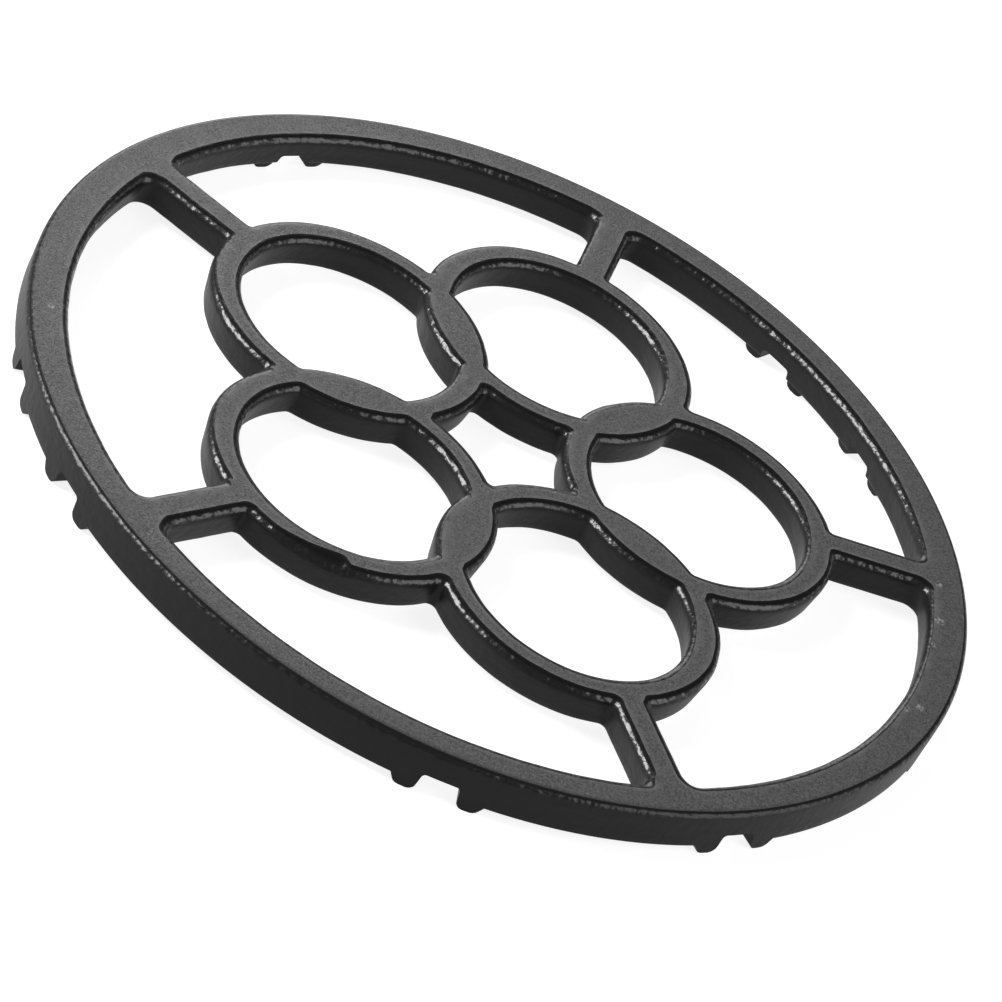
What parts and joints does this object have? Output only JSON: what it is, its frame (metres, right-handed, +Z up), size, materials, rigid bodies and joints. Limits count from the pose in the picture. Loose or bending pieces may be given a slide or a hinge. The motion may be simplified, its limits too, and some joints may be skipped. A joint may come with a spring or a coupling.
{
  "type": "wok ring",
  "caption": "Round cast iron ring that steadies a wok on a gas hob: an open rim tied by spokes to overlapping circles, with lugs underneath that sit over the arms of the pan support.",
  "frame": {"origin": "under the centre of the ring, on the plane of the lug tips that it stands on", "axes": "+Z up out of the flat top, +Y along one spoke, away from the front bay"},
  "size_m": [0.23, 0.23, 0.0107],
  "materials": {
    "wok_ring": "satin black enamel over a fine pebbled casting"
  },
  "bodies": {
    "root": {"wok_ring": "wok_ring"}
  },
  "joints": []
}
